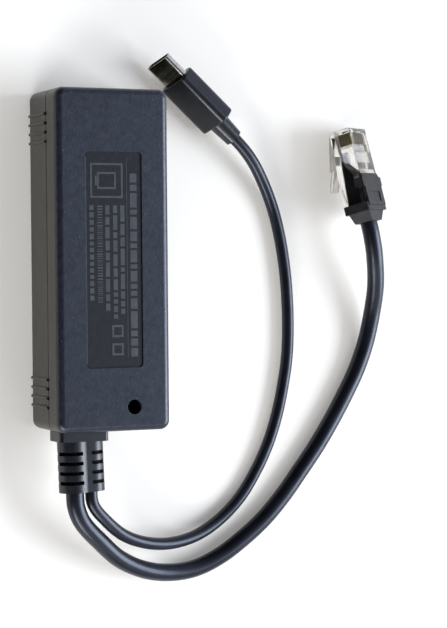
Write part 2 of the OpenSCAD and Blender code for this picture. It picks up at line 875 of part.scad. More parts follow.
module usb_insulator() {
    lining = 2 * (tip_wall + tip_fit);
    color([0.1, 0.1, 0.1])
        at_power_plug()
            difference() {
                tip_form(tip_w - lining, tip_t - lining, -tip_l - tip_inset, -0.4);
                translate([-tongue_w / 2, -tongue_l, -tongue_t / 2])
                    cube([tongue_w, tongue_l + cut, tongue_t]);
            }
}

module usb_contacts() {
    color([0.85, 0.7, 0.35])
        at_power_plug()
            for (s = [-1, 1], i = [0 : pad_count - 1])
                translate([(i - (pad_count - 1) / 2) * pad_pitch - pad_w / 2, -tongue_l, 0])
                    translate([0, 0, s > 0 ? tongue_t / 2 - pad_t : -tongue_t / 2])
                        cube([pad_w, tongue_l - 1.2, pad_t]);
}

module usb_overmould() {
    back_y = -tip_l - grip_l;
    color([0.13, 0.13, 0.14])
        at_power_plug()
            difference() {
                union() {
                    bar(grip_w, grip_t, back_y + grip_edge, -tip_l, grip_r);
                    hull() {
                        bar(grip_w, grip_t, back_y + grip_edge, back_y + grip_edge + eps, grip_r);
                        bar(grip_w - 1.2, grip_t - 1.2, back_y, back_y + eps, grip_r - 0.5);
                    }
                    translate([0, back_y - neck_l, 0])
                        rotate([-90, 0, 0])
                            cylinder(d1 = neck_d[1], d2 = neck_d[0], h = neck_l + eps);
                }
                tip_form(tip_w + 2 * tip_fit, tip_t + 2 * tip_fit, -tip_l - tip_inset, cut);
            }
}

front_shell();
rear_shell();
circuit_board();
jack_housing();
jack_shield();
jack_contacts();
network_transformer();
transformer_core();
transformer_winding();
input_capacitor();
output_capacitors();
bridge_rectifiers();
controller_chip();
switching_transistor();
output_diode();
output_inductor();
optocoupler();
ceramic_capacitors();
indicator_led();
strain_relief();
data_wires();
power_wires();
data_cord();
power_cord();
data_plug_body();
data_plug_contacts();
data_plug_wires();
data_plug_boot();
usb_shell();
usb_insulator();
usb_contacts();
usb_overmould();
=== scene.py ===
import math
import random

import bmesh
import bpy
from mathutils import Matrix, Vector


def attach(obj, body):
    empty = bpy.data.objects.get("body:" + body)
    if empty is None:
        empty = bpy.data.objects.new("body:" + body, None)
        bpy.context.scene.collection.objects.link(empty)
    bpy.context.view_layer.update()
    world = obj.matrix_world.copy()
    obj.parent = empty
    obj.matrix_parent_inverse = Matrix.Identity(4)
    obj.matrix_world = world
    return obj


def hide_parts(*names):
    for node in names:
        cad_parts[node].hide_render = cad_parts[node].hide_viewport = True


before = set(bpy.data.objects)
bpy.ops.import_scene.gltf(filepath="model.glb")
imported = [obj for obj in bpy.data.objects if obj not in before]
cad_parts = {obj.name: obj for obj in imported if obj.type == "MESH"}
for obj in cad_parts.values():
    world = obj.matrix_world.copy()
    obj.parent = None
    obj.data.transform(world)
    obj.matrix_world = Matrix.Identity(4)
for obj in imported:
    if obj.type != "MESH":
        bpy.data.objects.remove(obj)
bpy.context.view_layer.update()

MM = 0.001

# Camera, solved from the case's own edges: place in mm, three turns in radians, lens in mm
CAMERA_PLACE = (-177.128, -2.505, 482.841)
CAMERA_TURNS = (-0.0168596, -0.0169923, -0.4206413)
FOCAL_PIXELS = 2000
FRAME_HEIGHT = 628
SENSOR = 36

# Case, in mm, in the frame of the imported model
CASE_W, CASE_L, CASE_D = 29.8, 85.0, 20.8
WALL = 2.0
SEAM_Z, SEAM_GAP = 13.3, 0.3
CORNER_R, FRONT_R, BACK_R = 2.4, 1.8, 1.5
TONGUE_H = 1.5
TONGUE_FIT = 0.05
BOARD_TOP = 5.2
LABEL_W, LABEL_L, LABEL_D, LABEL_R = 15.0, 53.4, 0.3, 1.0
LAMP_HOLE = (5.1, -36.5)
LAMP_HOLE_R = 1.85
RIDGE_COUNT, RIDGE_PITCH, RIDGE_R, RIDGE_END, RIDGE_FOOT = 4, 2.3, 0.4, 6.1, 0.9
POCKET_R, POCKET_DEPTH = 0.56, 0.5
GROOVE_SLACK = 0.12
POST_X, POST_YS, POST_R = 10.5, (-31.0, 18.8), 2.1
SOCKET_W, SOCKET_TOP = 16.3, 18.75

# Strain relief: the ribbed body is turned a little, pulled aside by the leads
RELIEF_X, RELIEF_Z, RELIEF_TURN = -5.9, 10.4, 2.0
FLANGE_W, FLANGE_H, FLANGE_T, FLANGE_R = 13.0, 8.5, 2.7, 1.0
NECK_W, NECK_H = 10.6, 6.1
BODY_Y, RELIEF_L = -45.2, 12.8
BIG_LOBE = (-7.6, 4.0)
SMALL_LOBE = (-3.0, 3.2)
SLOT_YS = (-48.15, -50.6, -53.05, -55.5)
SLOT_W, SLOT_DEPTH, SLOT_WEB = 0.9, 1.0, 1.2
WEB_X = (-6.35, -3.9)
SLOT_SKIN = 0.12
DATA_LEAD_X, POWER_LEAD_X = -7.6, -3.25

# Plugs: nose in mm; turn on the table, pitch and roll in degrees
DATA_NOSE, DATA_POSE = (72.8, 34.26, 5.15), (10.2, -10.25, 39.8)
DATA_LENGTH = 25.3
PLUG_W, PLUG_T, PLUG_L, PLUG_EDGE = 11.68, 6.6, 21.46, 0.45
NOSE_FLOOR, FLOOR_DROP, FLOOR_RUN = -1.9, 1.4, 14
BLADE_COUNT, BLADE_PITCH, BLADE_TOP = 8, 1.02, 2.9
LATCH_TOP, LEAD_END_Y = -3.45, -8.3
TAPER_W, TAPER_T, TAPER_END_W, TAPER_END_T = 12.28, 7.12, 7, 5.2
TIP_NOSE, TIP_POSE = (18.64, 51.15, 5.1), (47.6, 0, -61)
TIP_LENGTH = 28.65
# The last of these: past it, across the tip, the shell's sides carry the painted highlight.
TIP_W, TIP_T, TIP_BACK, TIP_HIGHLIGHT_X = 8.25, 2.4, -8.65, 3.3
GRIP_W, GRIP_T, GRIP_BACK, GRIP_FRONT = 9.7, 5.8, -22.65, -6.65

# Surroundings: the way they are palest, and their colour from the dim side to the pale one
PALE_WAY = (0.99, 0.1, 0.05)
WORLD_STOPS = (
    (0, (0.02, 0.02, 0.022)), (0.5, (0.03, 0.03, 0.034)), (0.58, (0.12, 0.13, 0.16)),
    (0.7, (0.54, 0.59, 0.7)), (0.82, (0.6, 0.67, 0.85)), (1, (0.5, 0.56, 0.75)),
)

# Diameters of the leads, in mm
DATA_D, POWER_D = 4.6, 3.2


def along(pose):
    """The way a plug points."""
    turn, pitch = math.radians(pose[0]), math.radians(pose[1])
    return Vector((-math.sin(turn) * math.cos(pitch), math.cos(turn) * math.cos(pitch), math.sin(pitch)))


def relief_exit(x):
    """Where a lead leaves the turned body, for its place across the relief."""
    turn = math.radians(RELIEF_TURN)
    return (
        RELIEF_X + (x - RELIEF_X) * math.cos(turn) + RELIEF_L * math.sin(turn),
        BODY_Y + (x - RELIEF_X) * math.sin(turn) - RELIEF_L * math.cos(turn),
        RELIEF_Z,
    )


# Where the leads run: straight out of the relief, over the table and into their plugs
EXIT_WAY = Vector((math.sin(math.radians(RELIEF_TURN)), -math.cos(math.radians(RELIEF_TURN)), 0))
DATA_END = Vector(DATA_NOSE) - DATA_LENGTH * along(DATA_POSE)
POWER_END = Vector(TIP_NOSE) - TIP_LENGTH * along(TIP_POSE)
DATA_ROUTE = [
    relief_exit(DATA_LEAD_X), (-6.8, -62, 10.3), (-4.8, -66.2, 9.7), (0.2, -71.3, 8.4), (6, -76.2, 6.6),
    (13, -79.6, 4.9), (20.7, -81.2, 3.4), (28.6, -80.8, 2.6), (36, -78, 2.4), (42.8, -73.7, 2.4),
    (49, -68.8, 2.4), (54.6, -63, 2.4), (59.6, -56.8, 2.4), (64.5, -50.5, 2.4), (69, -43.9, 2.4),
    (73.2, -37, 2.4), (77, -30, 2.4), (79.7, -22.6, 2.8), (80.9, -14.8, 4.2), (80.7, -7.1, 6.8),
    (79.2, 0.6, 9.2), (78.1, 5.4, 9.9), tuple(DATA_END),
]
POWER_ROUTE = [
    relief_exit(POWER_LEAD_X), (-2.3, -61.5, 10.3), (0.6, -65.1, 9.7), (6.6, -70, 8.2), (13.9, -72.7, 6.4),
    (21.6, -73.4, 4.6), (29.3, -72, 2.9), (36.3, -68.4, 1.8), (42.2, -63, 1.7), (46.8, -56.4, 1.7),
    (50.5, -49.3, 1.7), (53.2, -41.8, 1.7), (55.1, -34, 1.7), (56.4, -26.1, 1.7),
    (56.8, -18.1, 1.7), (56.6, -10.1, 1.7), (55.9, -2.2, 1.7), (54.6, 5.7, 1.7),
    (52.5, 13.4, 1.9), (49.1, 20.5, 3), (44.9, 26.6, 4.5), tuple(POWER_END),
]


# Modelling helpers. Sizes come in mm, and each finished object has its place in its mesh.


def only(piece):
    """Selects one object and nothing else."""
    bpy.ops.object.select_all(action="DESELECT")
    piece.select_set(True)
    bpy.context.view_layer.objects.active = piece


def settle(piece):
    """Puts an object's place, turn and scale into its mesh."""
    only(piece)
    bpy.ops.object.transform_apply(location=True, rotation=True, scale=True)
    return piece


def named(name):
    """Names the object that was just made."""
    piece = bpy.context.active_object
    piece.name = name
    piece.data.name = name
    return settle(piece)


def box(name, low, high):
    """A block from its lowest to its highest corner."""
    bpy.ops.object.select_all(action="DESELECT")
    low, high = Vector(low) * MM, Vector(high) * MM
    bpy.ops.mesh.primitive_cube_add(size=1, location=(low + high) / 2, scale=high - low)
    return named(name)


def rod(name, start, end, radius, end_radius=None, sides=48):
    """A round bar or a cone from one point to another."""
    bpy.ops.object.select_all(action="DESELECT")
    start, end = Vector(start) * MM, Vector(end) * MM
    run = end - start
    bpy.ops.mesh.primitive_cone_add(
        vertices=sides,
        radius1=radius * MM,
        radius2=(radius if end_radius is None else end_radius) * MM,
        depth=run.length,
        location=(start + end) / 2,
        rotation=run.to_track_quat("Z", "Y").to_euler(),
    )
    return named(name)


def pick(piece, kind, test):
    """In edit mode, selects only the edges or faces that pass a test."""
    mesh = bmesh.from_edit_mesh(piece.data)
    bpy.ops.mesh.select_all(action="DESELECT")
    bpy.ops.mesh.select_mode(type=kind)
    if kind == "EDGE":
        for edge in mesh.edges:
            edge.select_set(test(edge.verts[0].co / MM, edge.verts[1].co / MM))
    else:
        for face in mesh.faces:
            face.select_set(test(face.calc_center_median() / MM, face.normal))
    bmesh.update_edit_mesh(piece.data)


def round_edges(piece, test, width, segments):
    """Bevels the edges that pass a test."""
    only(piece)
    bpy.ops.object.mode_set(mode="EDIT")
    pick(piece, "EDGE", test)
    bpy.ops.mesh.bevel(offset=width * MM, segments=segments, affect="EDGES", profile=0.5)
    bpy.ops.object.mode_set(mode="OBJECT")
    return piece


def inset_face(piece, test, width, push=(0, 0, 0)):
    """Insets the faces that pass a test, then extrudes what is left by push."""
    only(piece)
    bpy.ops.object.mode_set(mode="EDIT")
    pick(piece, "FACE", test)
    bpy.ops.mesh.inset(thickness=width * MM, depth=0)
    if Vector(push).length:
        bpy.ops.mesh.extrude_region_move(TRANSFORM_OT_translate={"value": Vector(push) * MM})
    bpy.ops.object.mode_set(mode="OBJECT")
    return piece


def slice_off(piece, point, way):
    """Cuts a piece by a plane and takes away what lies on the side that way points to.

    Blender's own threshold, 0.1 mm, is too coarse for a plug.
    """
    only(piece)
    bpy.ops.object.mode_set(mode="EDIT")
    bpy.ops.mesh.select_all(action="SELECT")
    bpy.ops.mesh.bisect(
        plane_co=Vector(point) * MM, plane_no=Vector(way).normalized(), use_fill=True, clear_outer=True,
        threshold=0.0001 * MM,
    )
    bpy.ops.object.mode_set(mode="OBJECT")


def combine(piece, tool, operation="DIFFERENCE"):
    """Cuts a tool from a piece, or welds it on, and removes the tool."""
    only(piece)
    modifier = piece.modifiers.new("combine", "BOOLEAN")
    modifier.operation = operation
    modifier.solver = "EXACT"
    modifier.object = tool
    bpy.ops.object.modifier_apply(modifier=modifier.name)
    bpy.data.objects.remove(tool)
    return piece


def join(pieces):
    """Makes several objects one, with the first one's name."""
    only(pieces[0])
    for piece in pieces:
        piece.select_set(True)
    bpy.ops.object.join()
    return pieces[0]


def soften(piece, width, segments=2, angle=32):
    """Breaks the sharp edges with a small bevel and smooths the rest."""
    only(piece)
    modifier = piece.modifiers.new("soften", "BEVEL")
    modifier.width = width * MM
    modifier.segments = segments
    modifier.limit_method = "ANGLE"
    modifier.angle_limit = math.radians(angle)
    modifier.use_clamp_overlap = True
    bpy.ops.object.modifier_apply(modifier=modifier.name)
    bpy.ops.object.shade_smooth_by_angle(angle=math.radians(angle + 8))
    even = piece.modifiers.new("even", "WEIGHTED_NORMAL")
    even.keep_sharp = True
    bpy.ops.object.modifier_apply(modifier=even.name)
    return piece


def smooth(piece):
    """Shades a piece smooth, apart from its sharp edges."""
    only(piece)
    bpy.ops.object.shade_smooth_by_angle(angle=math.radians(40))


def near(a, b, slack=0.02):
    return abs(a - b) < slack


def upright(a, b):
    return near(a.x, b.x) and near(a.y, b.y) and not near(a.z, b.z)


def slab(name, width, length, z0, z1, radius, segments=8):
    """A block centred on the origin with its upright edges rounded."""
    piece = box(name, (-width / 2, -length / 2, z0), (width / 2, length / 2, z1))
    return round_edges(piece, upright, radius, segments)


def bar(name, centre, width, height, y0, y1, radius, segments=6):
    """A block along Y with its long edges rounded, centred on (x, z)."""
    x, z = centre
    piece = box(name, (x - width / 2, y0, z - height / 2), (x + width / 2, y1, z + height / 2))

    def lengthwise(a, b):
        return near(a.x, b.x) and near(a.z, b.z) and not near(a.y, b.y)

    return round_edges(piece, lengthwise, radius, segments)


def place(piece, nose, pose):
    """Moves a plug drawn along Y, nose at the origin, to its place on the table."""
    turn, pitch, roll = (math.radians(angle) for angle in pose)
    piece.matrix_world = (
        Matrix.Translation(Vector(nose) * MM)
        @ Matrix.Rotation(turn, 4, "Z")
        @ Matrix.Rotation(pitch, 4, "X")
        @ Matrix.Rotation(roll, 4, "Y")
    )
    return settle(piece)


def swing(piece, pivot, degrees):
    """Turns a piece about an upright line."""
    only(piece)
    centre = Matrix.Translation(Vector(pivot) * MM)
    piece.matrix_world = centre @ Matrix.Rotation(math.radians(degrees), 4, "Z") @ centre.inverted()
    return settle(piece)


def more_finishes(piece, *choices):
    """Gives faces other materials: pairs of a material and a test. Called after dress."""
    for index, (material, test) in enumerate(choices, 1):
        piece.data.materials.append(material)
        for face in piece.data.polygons:
            if test(face.center / MM, face.normal):
                face.material_index = index
    return piece


def dress(piece, material, replaces=()):
    """Gives a piece its material, lets it ride on the part and hides the CAD parts it stands in for."""
    piece.data.materials.clear()
    piece.data.materials.append(material)
    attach(piece, "root")
    if replaces:
        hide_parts(*replaces)
    return piece


# Materials. Every pattern reads Object coordinates, in metres.


class Finish:
    """A material with its main shader, and short ways to add nodes to it."""

    def __init__(self, name, colour, roughness, metallic=0.0, **sockets):
        self.material = bpy.data.materials.new(name)
        self.material.use_nodes = True
        self.nodes = self.material.node_tree.nodes
        self.links = self.material.node_tree.links
        self.shader = self.nodes["Principled BSDF"]
        self.shader.inputs["Base Color"].default_value = (*colour, 1)
        self.shader.inputs["Roughness"].default_value = roughness
        self.shader.inputs["Metallic"].default_value = metallic
        for socket, value in sockets.items():
            self.shader.inputs[socket.replace("_", " ")].default_value = value
        self.where = self.nodes.new("ShaderNodeTexCoord").outputs["Object"]

    def noise(self, scale, detail):
        """A noise value from the piece's own coordinates."""
        node = self.nodes.new("ShaderNodeTexNoise")
        node.inputs["Scale"].default_value = scale
        node.inputs["Detail"].default_value = detail
        self.links.new(self.where, node.inputs["Vector"])
        return node.outputs["Fac"]

    def ramp(self, value, stops):
        """Turns a value into colours at the given stops."""
        node = self.nodes.new("ShaderNodeValToRGB")
        elements = node.color_ramp.elements
        while len(elements) < len(stops):
            elements.new(0.5)
        for element, (at, colour) in zip(elements, stops):
            element.position = at
            element.color = (*colour, 1)
        self.links.new(value, node.inputs["Fac"])
        return node.outputs["Color"]

    def colour(self, value, stops):
        self.links.new(self.ramp(value, stops), self.shader.inputs["Base Color"])
        return self

    def roughness(self, value, low, high):
        node = self.nodes.new("ShaderNodeMapRange")
        node.inputs["To Min"].default_value = low
        node.inputs["To Max"].default_value = high
        self.links.new(value, node.inputs["Value"])
        self.links.new(node.outputs["Result"], self.shader.inputs["Roughness"])
        return self

    def bump(self, value, strength, distance_mm):
        node = self.nodes.new("ShaderNodeBump")
        node.inputs["Strength"].default_value = strength
        node.inputs["Distance"].default_value = distance_mm * MM
        self.links.new(value, node.inputs["Height"])
        last = self.shader.inputs["Normal"]
        if last.is_linked:
            self.links.new(last.links[0].from_socket, node.inputs["Normal"])
        self.links.new(node.outputs["Normal"], last)
        return self


def case_plastic(name, dark, light, speck, tint, level=0.5, low=0.3, high=0.42):
    """Fine-textured moulded plastic, softly mottled, with tiny pale specks and a sheen tinted as painted
    reflection.
    """
    finish = Finish(name, dark, high, Specular_IOR_Level=level, Specular_Tint=(*tint, 1))
    mottled = finish.ramp(finish.noise(700, 6), [(0.3, dark), (0.72, light)])
    specks = finish.ramp(finish.noise(2400, 1.5), [(0.68, (0, 0, 0)), (0.8, (1, 1, 1))])
    mix = finish.nodes.new("ShaderNodeMix")
    mix.data_type = "RGBA"
    finish.links.new(specks, mix.inputs["Factor"])
    finish.links.new(mottled, mix.inputs[6])
    mix.inputs[7].default_value = (*speck, 1)
    finish.links.new(mix.outputs[2], finish.shader.inputs["Base Color"])
    finish.roughness(finish.noise(240, 5), low, high)
    finish.bump(finish.noise(1900, 3), 0.55, 0.07)
    return finish.material


def soft_plastic(name, dark, light, low, high, grain_mm=0.03, specular=0.5):
    """Satin moulded plastic, softly mottled."""
    finish = Finish(name, dark, high, Specular_IOR_Level=specular)
    finish.colour(finish.noise(500, 4), [(0.3, dark), (0.75, light)])
    finish.roughness(finish.noise(260, 4), low, high)
    finish.bump(finish.noise(1500, 3), 0.35, grain_mm)
    return finish.material


def lead_sheath(name):
    """Glossy black sheath, a little wavy along its run, with faint scuffs and a bluish sheen tint that is
    painted reflection.
    """
    dark, light = (0.003, 0.0033, 0.0058), (0.008, 0.0088, 0.0145)
    finish = Finish(name, dark, 0.36, Specular_IOR_Level=0.42, Specular_Tint=(0.78, 0.84, 1, 1))
    finish.colour(finish.noise(180, 5), [(0.35, dark), (0.75, light)])
    finish.roughness(finish.noise(330, 4), 0.27, 0.4)
    finish.bump(finish.noise(110, 3), 0.3, 0.16)
    finish.bump(finish.noise(1300, 2), 0.2, 0.02)
    return finish.material


def clear_plastic(name, see_through):
    """Clear moulding with flow marks and a faint warm haze; see_through runs from 0 to 1."""
    finish = Finish(name, (0.95, 0.94, 0.9), 0.06, IOR=1.5, Transmission_Weight=see_through)
    finish.colour(finish.noise(140, 4), [(0.3, (0.74, 0.71, 0.64)), (0.7, (0.9, 0.885, 0.85))])
    finish.bump(finish.noise(300, 2), 0.12, 0.04)
    finish.roughness(finish.noise(420, 3), 0.03, 0.16)
    return finish.material


def metal(name, dark, light, low, high):
    """Plated or bare metal with a faint cloud of duller spots."""
    finish = Finish(name, light, high, metallic=1.0)
    finish.colour(finish.noise(900, 4), [(0.3, dark), (0.7, light)])
    finish.roughness(finish.noise(540, 4), low, high)
    finish.bump(finish.noise(1800, 2), 0.15, 0.02)
    return finish.material


# Painted reflection: the front's and the label panel's sheen is tinted blue for the cool light they
# mirror.
CASE_FINISH = case_plastic(
    "dark slate case plastic", (0.008, 0.009, 0.014), (0.019, 0.021, 0.031), (0.09, 0.1, 0.12),
    (0.8, 0.87, 1),
)
# Painted reflection: the case's sides, the whole rear shell and the front shell's upright outside, get a
# warmer copy of the case plastic, in base colour and sheen, for the warm light they mirror.
CASE_SIDE_WARM_REFLECTION_FINISH = case_plastic(
    "case side with painted warm reflection", (0.011, 0.0103, 0.0095), (0.021, 0.0197, 0.0183), (0.075, 0.07, 0.062),
    (1, 0.87, 0.72), 0.43,
)
PANEL_FINISH = case_plastic(
    "label panel floor", (0.003, 0.0035, 0.005), (0.007, 0.008, 0.01), (0.035, 0.037, 0.042),
    (0.9, 0.94, 1), 0.28, 0.42, 0.56,
)
# Painted shade: near-black plastic laid on the faces inside the joint's groove, its pockets and the
# relief's slots, where shade falls.
JOINT_AND_SLOT_SHADE_FINISH = soft_plastic(
    "shaded joint", (0.001, 0.001, 0.001), (0.004, 0.004, 0.004), 0.7, 0.9, 0.03, 0.1
)
PRINT_FINISH = soft_plastic("faded grey print", (0.018, 0.02, 0.026), (0.036, 0.039, 0.048), 0.42, 0.6)
RELIEF_FINISH = soft_plastic(
    "dark relief plastic", (0.003, 0.0035, 0.006), (0.009, 0.011, 0.018), 0.3, 0.44
)
SHEATH_FINISH = lead_sheath("glossy black sheath")
SLEEVE_FINISH = soft_plastic(
    "dark plug sleeve", (0.009, 0.0087, 0.0105), (0.026, 0.0245, 0.028), 0.42, 0.58, 0.03, 0.22
)
GRIP_FINISH = soft_plastic("black plug grip", (0.002, 0.0026, 0.005), (0.006, 0.008, 0.015), 0.24, 0.38)
CLEAR_FINISH = clear_plastic("clear plug plastic", 1.0)
# Painted light: the latch lies in the body's shade, so it gets its own hazier copy of the clear plastic
# that reads paler.
LATCH_PAINTED_LIGHT_FINISH = clear_plastic("latch plastic, hazier as painted light", 0.8)
INNER_WIRE_FINISH = soft_plastic("pale inner wires", (0.48, 0.47, 0.57), (0.78, 0.76, 0.84), 0.3, 0.45)
GOLD_FINISH = metal("gold contacts", (0.42, 0.3, 0.1), (0.72, 0.55, 0.22), 0.2, 0.4)
BLADE_FINISH = metal("dull gold blades", (0.46, 0.43, 0.28), (0.72, 0.68, 0.48), 0.28, 0.45)
# Painted light: lit and shaded copies of one nickel; the flat faces are darkened as painted shade, the
# curved sides brightened as painted highlight.
NICKEL_SHADED_FINISH = metal("nickel plug shell, darkened as painted shade", (0.16, 0.165, 0.135), (0.3, 0.3, 0.25), 0.08, 0.16)
NICKEL_HIGHLIGHT_FINISH = metal("nickel sides, painted highlight", (0.6, 0.58, 0.5), (0.8, 0.78, 0.7), 0.12, 0.26)
TIN_FINISH = metal("tinned sheet", (0.5, 0.51, 0.53), (0.68, 0.69, 0.7), 0.25, 0.45)
BOARD_FINISH = soft_plastic("green solder mask", (0.01, 0.1, 0.04), (0.02, 0.16, 0.07), 0.25, 0.4)
CHIP_FINISH = soft_plastic("black chip moulding", (0.01, 0.01, 0.012), (0.025, 0.025, 0.028), 0.5, 0.7)
PALE_CHIP_FINISH = soft_plastic("white chip moulding", (0.6, 0.6, 0.57), (0.75, 0.75, 0.72), 0.5, 0.7)
FERRITE_FINISH = soft_plastic(
    "sintered ferrite", (0.02, 0.02, 0.022), (0.05, 0.05, 0.055), 0.55, 0.75, 0.08
)
TAPE_FINISH = soft_plastic("yellow winding tape", (0.6, 0.4, 0.03), (0.8, 0.6, 0.08), 0.2, 0.35)
SLEEVING_FINISH = soft_plastic("capacitor sleeve", (0.01, 0.015, 0.06), (0.02, 0.03, 0.1), 0.2, 0.35)
CERAMIC_FINISH = soft_plastic("fired ceramic", (0.32, 0.22, 0.12), (0.45, 0.32, 0.2), 0.5, 0.7)
WIRE_FINISH = soft_plastic("wire insulation", (0.4, 0.13, 0.03), (0.55, 0.22, 0.06), 0.3, 0.45)
LAMP_FINISH = soft_plastic("tinted lamp lens", (0.2, 0.35, 0.2), (0.3, 0.5, 0.3), 0.1, 0.2)


# Camera


def make_camera():
    data = bpy.data.cameras.new("camera")
    data.sensor_width = SENSOR
    data.lens = FOCAL_PIXELS / FRAME_HEIGHT * SENSOR
    camera = bpy.data.objects.new("camera", data)
    bpy.context.scene.collection.objects.link(camera)
    turn_z, turn_x, turn_y = CAMERA_TURNS
    camera.matrix_world = (
        Matrix.Translation(Vector(CAMERA_PLACE) * MM)
        @ Matrix.Rotation(turn_z, 4, "Z")
        @ Matrix.Rotation(turn_x, 4, "X")
        @ Matrix.Rotation(turn_y, 4, "Y")
    )
    bpy.context.scene.camera = camera


# Leads


def route_length(route, steps=40):
    """Length of the smooth curve through a route, in mm, from its handles."""
    total = 0.0
    for (a, ha), (hb, b) in route:
        last = a
        for i in range(1, steps + 1):
            t = i / steps
            point = a * (1 - t) ** 3 + 3 * ha * t * (1 - t) ** 2 + 3 * hb * t * t * (1 - t) + b * t**3
            total += (point - last).length
            last = point
    return total


def make_lead(name, route, diameter, last_way):
    """A round lead along one smooth curve; its ends leave square to what they meet."""
    points = [Vector(p) for p in route]
    ways = [EXIT_WAY]
    ways += [(points[i + 1] - points[i - 1]).normalized() for i in range(1, len(points) - 1)]
    ways.append(last_way)
    curve = bpy.data.curves.new(name, "CURVE")
    curve.dimensions = "3D"
    curve.resolution_u = 10
    curve.bevel_depth = diameter / 2 * MM
    curve.bevel_resolution = 7
    curve.use_fill_caps = True
    spline = curve.splines.new("BEZIER")
    spline.bezier_points.add(len(points) - 1)
    spans = []
    for i, point in enumerate(points):
        before = (point - points[i - 1]).length / 3 if i else 1
        after = (points[i + 1] - point).length / 3 if i < len(points) - 1 else 1
        knot = spline.bezier_points[i]
        knot.handle_left_type = knot.handle_right_type = "FREE"
        knot.co = point * MM
        knot.handle_left = (point - ways[i] * before) * MM
        knot.handle_right = (point + ways[i] * after) * MM
        if i:
            start = points[i - 1]
            spans.append(((start, start + ways[i - 1] * before), (point - ways[i] * before, point)))
    piece = bpy.data.objects.new(name, curve)
    bpy.context.scene.collection.objects.link(piece)
    return piece, route_length(spans)


# Case


def socket_cut():
    return box(
        "socket_cut",
        (-SOCKET_W / 2, CASE_L / 2 - WALL - 1, BOARD_TOP - 0.15),
        (SOCKET_W / 2, CASE_L / 2 + 1, SOCKET_TOP),
    )


def relief_cut():
    grow = 0.2
    return bar(
        "relief_cut", (RELIEF_X, RELIEF_Z), NECK_W + grow, NECK_H + grow,
        -CASE_L / 2 - 1, -CASE_L / 2 + WALL + 1, 1,
    )


def ridge_places():
    """Where each ridge stands: side of the case, then distance along it."""
    for side in (-1, 1):
        for end in (-1, 1):
            for i in range(RIDGE_COUNT):
                yield side, end * (CASE_L / 2 - RIDGE_END - i * RIDGE_PITCH)


def ridge_pockets():
    """Round pockets on the joint, one over each ridge, as one cutting tool."""
    tools = [
        rod(
            "pocket", (side * (CASE_W / 2 - POCKET_DEPTH), y, SEAM_Z + SEAM_GAP / 2),
            (side * (CASE_W / 2 + 1), y, SEAM_Z + SEAM_GAP / 2), POCKET_R, sides=24,
        )
        for side, y in ridge_places()
    ]
    return join(tools)


def flat_ring(level):
    """A test for the edges that lie at one height."""
    return lambda a, b: near(a.z, level) and near(b.z, level)


def outer_side(centre, normal):
    """A face on the upright outside of the case; these get the painted warm reflection."""
    depth = max(abs(centre.x) - CASE_W / 2, abs(centre.y) - CASE_L / 2)
    return abs(normal.z) < 0.35 and depth > -CORNER_R / 3


def joint_face(centre, normal):
    """A face inside the open groove between the shells, or in one of its pockets; these get painted shade.
    """
    in_groove = SEAM_Z - GROOVE_SLACK < centre.z < SEAM_Z + SEAM_GAP + GROOVE_SLACK
    depth = max(abs(centre.x) - CASE_W / 2, abs(centre.y) - CASE_L / 2)
    in_pocket = abs(centre.z - SEAM_Z - SEAM_GAP / 2) < POCKET_R and -POCKET_DEPTH - 0.1 < depth < -0.15
    return in_groove or in_pocket


def make_case_front():
    bottom = SEAM_Z + SEAM_GAP
    piece = slab("case_front", CASE_W, CASE_L, bottom, CASE_D, CORNER_R, 10)
    round_edges(piece, flat_ring(CASE_D), FRONT_R, 8)

    def faces_down(centre, normal):
        return normal.z < -0.9

    outer = WALL / 2 - TONGUE_FIT
    inset_face(piece, faces_down, outer, (0, 0, TONGUE_H - SEAM_GAP))

    def under_roof(centre, normal):
        return normal.z < -0.9 and near(centre.z, SEAM_Z + TONGUE_H)

    inset_face(piece, under_roof, WALL - outer, (0, 0, CASE_D - WALL - SEAM_Z - TONGUE_H))
    for x in (-POST_X, POST_X):
        for y in POST_YS:
            post = rod("post", (x, y, BOARD_TOP), (x, y, CASE_D - WALL + 0.5), POST_R, sides=32)
            combine(piece, post, "UNION")
    panel = slab("panel", LABEL_W, LABEL_L, CASE_D - LABEL_D, CASE_D + 1, LABEL_R, 6)
    combine(piece, panel)
    x, y = LAMP_HOLE
    combine(piece, rod("hole", (x, y, CASE_D - WALL - 1), (x, y, CASE_D + 1), LAMP_HOLE_R, sides=64))
    combine(piece, socket_cut())
    combine(piece, relief_cut())
    combine(piece, ridge_pockets())
    soften(piece, 0.13)
    dress(piece, CASE_FINISH, ["front_shell"])

    def panel_floor(centre, normal):
        return normal.z > 0.9 and near(centre.z, CASE_D - LABEL_D, 0.05) and abs(centre.x) < LABEL_W / 2

    # The upright outside gets the painted warm reflection; the joint's faces get painted shade.
    return more_finishes(
        piece, (CASE_SIDE_WARM_REFLECTION_FINISH, outer_side), (PANEL_FINISH, panel_floor), (JOINT_AND_SLOT_SHADE_FINISH, joint_face)
    )


